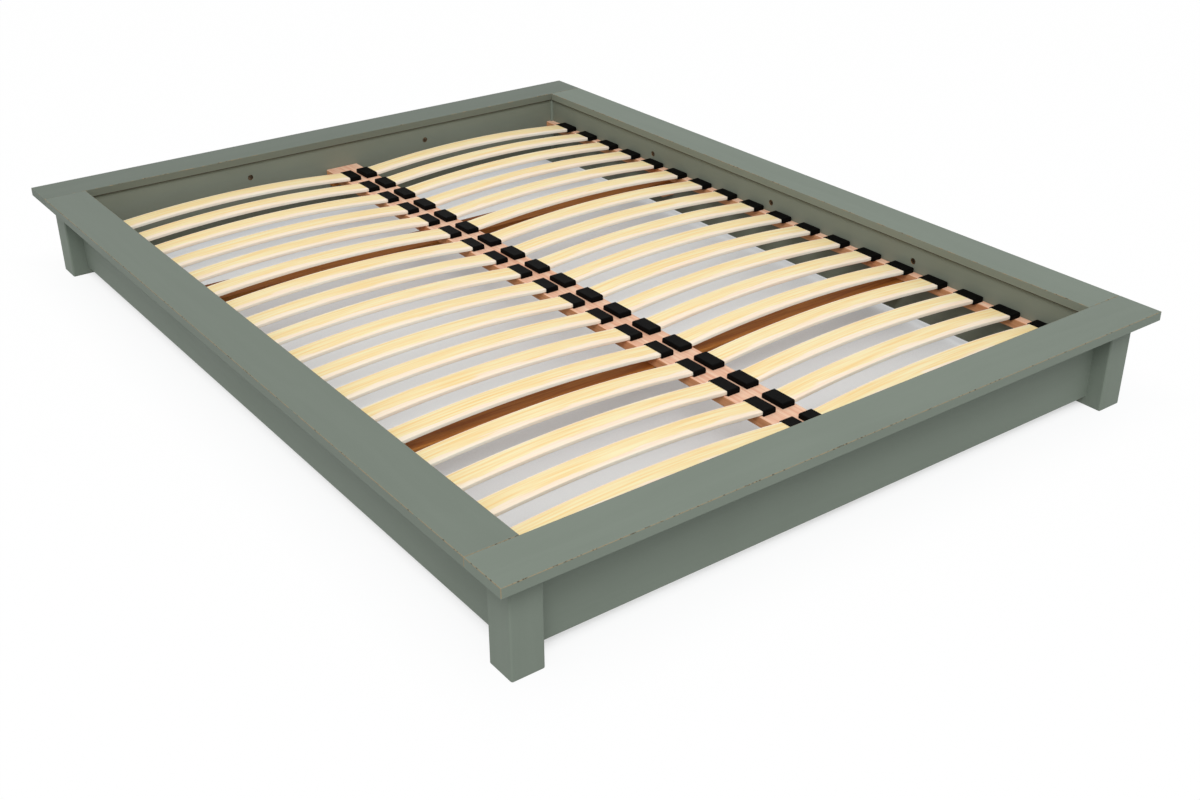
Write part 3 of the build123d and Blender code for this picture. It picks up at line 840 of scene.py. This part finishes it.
def buildCapMesh():
    mesh = bmesh.new()
    lip = cap["lip"]
    rings = []
    for step in range(cap["endSteps"], -1, -1):
        angle = math.pi / 2 * step / cap["endSteps"]
        inset = cap["endRadius"] * (1 - math.cos(angle))
        rings.append((cap["endRadius"] * (1 - math.sin(angle)), outerRing(inset)))
    made = addRings(mesh, rings + [
        (cap["length"] - lip, outerRing(0.0)),
        (cap["length"], outerRing(lip * cap["lipInset"])),
        (cap["length"], innerRing(lip * cap["mouthFlare"])),
        (cap["length"] - lip, innerRing(0.0)),
        (cap["endWall"], innerRing(0.0)),
    ])
    mesh.faces.new(made[0][::-1])
    mesh.faces.new(made[-1])
    peg = bmesh.ops.create_cone(mesh, cap_ends=True, segments=cap["pegSides"], radius1=cap["pegRadius"],
                                radius2=cap["pegRadius"], depth=cap["pegLength"])
    bmesh.ops.translate(mesh, vec=(cap["pegInset"], 0.0, -cap["pegLength"] / 2), verts=peg["verts"])
    bmesh.ops.recalc_face_normals(mesh, faces=mesh.faces)
    finished = bpy.data.meshes.new("slatCap")
    mesh.to_mesh(finished)
    mesh.free()
    return finished


def buildCapTree():
    tree, given, out = newTree("capRow", "GeometryNodeTree", {
        "Geometry": ("NodeSocketGeometry", None),
        "Count": ("NodeSocketInt", slat["rows"]),
        "Start": ("NodeSocketVector", None),
        "Step": ("NodeSocketVector", None),
        "Turn": ("NodeSocketFloat", 0.0),
        "Material": ("NodeSocketMaterial", None),
    }, {"Geometry": "NodeSocketGeometry"})
    places = addNode(tree, "GeometryNodeMeshLine", {
        "Count": given["Count"],
        "Start Location": given["Start"],
        "Offset": given["Step"],
    }).outputs[0]
    caps = addNode(tree, "GeometryNodeInstanceOnPoints", {
        "Points": places,
        "Instance": given["Geometry"],
        "Rotation": combine(tree, z=given["Turn"]),
    }).outputs[0]
    finishTree(tree, caps, given["Material"], out)
    return tree


def makeCaps(material):
    tree = buildCapTree()
    block = buildCapMesh()
    firstLow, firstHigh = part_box("slat_row_01")
    lastLow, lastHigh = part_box(f"slat_row_{slat['rows']:02d}")
    firstY = (firstLow.y + firstHigh.y) / 2
    lastY = (lastLow.y + lastHigh.y) / 2
    seat = firstLow.z - slat["capFloor"]
    # Mouths face +X on the left outer and right inner caps, and -X on the other two
    lines = {"left_outer": False, "left_inner": True, "right_inner": False, "right_outer": True}
    for line, faceLeft in lines.items():
        node = "slat_caps_" + line
        low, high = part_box(node)
        piece = growPiece("slatCaps" + line.title().replace("_", ""), tree, {
            "Start": (high.x if faceLeft else low.x, firstY, seat),
            "Step": (0.0, (lastY - firstY) / (slat["rows"] - 1), 0.0),
            "Turn": math.pi if faceLeft else 0.0,
            "Material": material,
        }, base=block.copy())
        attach(piece, "root")
        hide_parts(node)
    print("caps made:", len(lines), "lines of", slat["rows"])


# Finishes on the CAD nodes

def dress(material, *nodes):
    for node in nodes:
        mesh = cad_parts[node].data
        mesh.materials.clear()
        mesh.materials.append(material)


def dressFrame():
    for end in ("head", "foot"):
        for node in ("rim_" + end, "apron_" + end):
            dress(lacquerMaterial(node, "X", lacquer["boardDepth"]), node)
        for side in ("left", "right"):
            node = f"leg_{end}_{side}"
            dress(lacquerMaterial(node, "Z", lacquer["legDepth"]), node)
    for side in ("left", "right"):
        for node in ("rim_" + side, "apron_" + side):
            dress(lacquerMaterial(node, "Y", lacquer["boardDepth"]), node)
    rail = softwoodMaterial("railSoftwood", "Y", railWood["railLight"], railWood["railDark"],
                            railWood["railPaintedShadeLight"], railWood["railPaintedShadeDark"])
    dress(rail, "centre_rail", "side_rail_left", "side_rail_right", "plank_cleat_head_left",
          "plank_cleat_head_right", "plank_cleat_foot_left", "plank_cleat_foot_right")
    # The planks and end cleats take the darker colour: painted shade
    plank = softwoodMaterial("plankSoftwoodPaintedShade", "X", railWood["plankPaintedShadeLight"], railWood["plankPaintedShadeDark"])
    dress(plank, "cross_plank_head", "cross_plank_foot", "end_cleat_head", "end_cleat_foot")
    # Dark bronze on the cam locks: painted shade in their holes
    lockPaintedShade = metalMaterial("lockPaintedShadeBronze", metals["bronzePaintedShadeLight"], metals["bronzePaintedShadeDark"], metals["bronzeRoughness"])
    dress(lockPaintedShade, "rim_cam_locks", "corner_cam_locks")
    zinc = metalMaterial("zincSteel", metals["zincLight"], metals["zincDark"], metals["zincRoughness"])
    dress(zinc, "rim_cam_bolts", "corner_cam_bolts", "side_rail_screws", "plank_cleat_screws",
          "end_cleat_screws", "rising_screws")
    beech = softwoodMaterial("dowelBeech", "X", railWood["beechLight"], railWood["beechDark"])
    dress(beech, "corner_dowels", "rim_seam_dowels", "leg_top_dowels")
    print("CAD nodes dressed")


# Floor, light and camera. Distances outside the bed's box are positive, and inside it negative.

studio = {
    "floorSize": 60.0,
    "floorWhite": 1.0,
    "floorBounce": 0.55,
    "glowOutside": 0.985,
    "glowNear": 0.87,
    "glowUnder": 0.36,
    "glowLeast": 0.34,
    "glowGain": 1.5,
    "shadeReach": 0.3,
    "shadeSamples": 8,
    "glowFrom": -0.12,
    "glowEdge": -0.062,
    "glowTo": 0.09,
    "farMargin": 0.045,
    "shadeTint": (0.95, 0.98, 1.0),
    "worldStrength": 0.61,
    "keySize": 4.2,
    "keyPower": 585.0,
    "keyPlace": (-4.7, -6.1, 7.7),
    "keyAim": (0.0, 0.0, 0.1),
}


def backdropRays(tree, path):
    # The rays that see the white backdrop as it is
    return addMath(tree, "MAXIMUM", path["Is Camera Ray"],
                   addMath(tree, "MAXIMUM", path["Is Glossy Ray"], path["Is Transmission Ray"]))


def beyondBox(tree, value, low, high):
    # How far a coordinate lies outside the box on that axis
    return addMath(tree, "MAXIMUM", addMath(tree, "SUBTRACT", low, value),
                   addMath(tree, "SUBTRACT", value, high + studio["farMargin"]))


def floorMaterial():
    material = bpy.data.materials.new("floorWhite")
    material.use_nodes = True
    tree = material.node_tree
    tree.nodes.clear()
    path = addNode(tree, "ShaderNodeLightPath").outputs
    seen = backdropRays(tree, path)
    white = [studio["floorWhite"] * channel for channel in studio["shadeTint"]] + [1.0]
    bounce = [studio["floorBounce"]] * 3 + [1.0]
    diffuse = addNode(tree, "ShaderNodeBsdfDiffuse", {"Color": mixColors(tree, seen, bounce, white)}).outputs[0]
    # The camera sees a floor that glows white of itself, less under the bed, so that a soft shadow is left
    low, high = cadBox
    place = addNode(tree, "ShaderNodeTexCoord").outputs["Object"]
    x, y, z = separate(tree, place)
    outside = addMath(tree, "MAXIMUM", beyondBox(tree, x, low.x, high.x), beyondBox(tree, y, low.y, high.y))
    glow = mapRange(tree, outside, studio["glowFrom"], studio["glowEdge"],
                    studio["glowUnder"], studio["glowNear"], smooth=True)
    beyond = mapRange(tree, outside, studio["glowEdge"], studio["glowTo"],
                      0.0, studio["glowOutside"] - studio["glowNear"])
    glow = addMath(tree, "ADD", glow, beyond)
    # Painted shade: under the bed the glow follows how open the floor is, so it is darker under the rails and
    # planks
    openness = addNode(tree, "ShaderNodeAmbientOcclusion", {"Distance": studio["shadeReach"]},
                       samples=studio["shadeSamples"]).outputs["AO"]
    lit = addMath(tree, "MULTIPLY_ADD", openness, studio["glowGain"], studio["glowLeast"], clamp=True)
    inside = mapRange(tree, outside, studio["glowFrom"], studio["glowEdge"], 1.0, 0.0, smooth=True)
    strength = addMath(tree, "MULTIPLY_ADD", addMath(tree, "SUBTRACT", lit, 1.0), inside, 1.0)
    emission = addNode(tree, "ShaderNodeEmission", {"Strength": strength}).outputs[0]
    lightFloor = addNode(tree, "ShaderNodeMixShader",
                         {0: addMath(tree, "MULTIPLY", glow, seen), 1: diffuse, 2: emission}).outputs[0]
    # A camera below the floor looks through it at the underside
    behind = addNode(tree, "ShaderNodeNewGeometry").outputs["Backfacing"]
    fromBelow = addMath(tree, "MULTIPLY", behind, path["Is Camera Ray"])
    clear = addNode(tree, "ShaderNodeBsdfTransparent").outputs[0]
    finished = addNode(tree, "ShaderNodeMixShader", {0: fromBelow, 1: lightFloor, 2: clear}).outputs[0]
    plugIn(tree, addNode(tree, "ShaderNodeOutputMaterial").inputs[0], finished)
    return material


def makeFloor():
    half = studio["floorSize"] / 2
    corners = [(-half, -half, 0.0), (half, -half, 0.0), (half, half, 0.0), (-half, half, 0.0)]
    mesh = bpy.data.meshes.new("floor")
    mesh.from_pydata(corners, [], [(0, 1, 2, 3)])
    mesh.materials.append(floorMaterial())
    floor = bpy.data.objects.new("floor", mesh)
    bpy.context.scene.collection.objects.link(floor)


def makeWorld():
    world = bpy.data.worlds.new("studioWorld")
    world.use_nodes = True
    tree = world.node_tree
    tree.nodes.clear()
    shown = backdropRays(tree, addNode(tree, "ShaderNodeLightPath").outputs)
    strength = addMath(tree, "MULTIPLY_ADD", shown, 1.0 - studio["worldStrength"], studio["worldStrength"])
    background = addNode(tree, "ShaderNodeBackground", {"Color": (1.0, 1.0, 1.0, 1.0), "Strength": strength})
    plugIn(tree, addNode(tree, "ShaderNodeOutputWorld").inputs[0], background.outputs[0])
    bpy.context.scene.world = world


def makeKeyLight():
    lamp = bpy.data.lights.new("keyLight", "AREA")
    lamp.shape = "SQUARE"
    lamp.size = studio["keySize"]
    lamp.energy = studio["keyPower"]
    light = bpy.data.objects.new("keyLight", lamp)
    light.location = studio["keyPlace"]
    light.rotation_euler = (Vector(studio["keyAim"]) - light.location).to_track_quat("-Z", "Y").to_euler()
    bpy.context.scene.collection.objects.link(light)


view = {
    "place": (-1.7133, -2.5167, 1.4426),
    "pitch": math.radians(28.146),
    "heading": math.radians(36.771),
    "lens": 43.456,
    "sensor": 36.0,
}


def makeCamera():
    lens = bpy.data.cameras.new("camera")
    lens.lens = view["lens"]
    lens.sensor_width = view["sensor"]
    camera = bpy.data.objects.new("camera", lens)
    camera.location = view["place"]
    camera.rotation_euler = (math.pi / 2 - view["pitch"], 0.0, -view["heading"])
    bpy.context.scene.collection.objects.link(camera)
    bpy.context.scene.camera = camera


makeCamera()
makeWorld()
makeKeyLight()
makeFloor()
bpy.context.scene.view_settings.view_transform = "Standard"
print("studio ready")

dressFrame()
makeSlats(birchMaterial())
makeCaps(plasticMaterial())

print("bed finished")
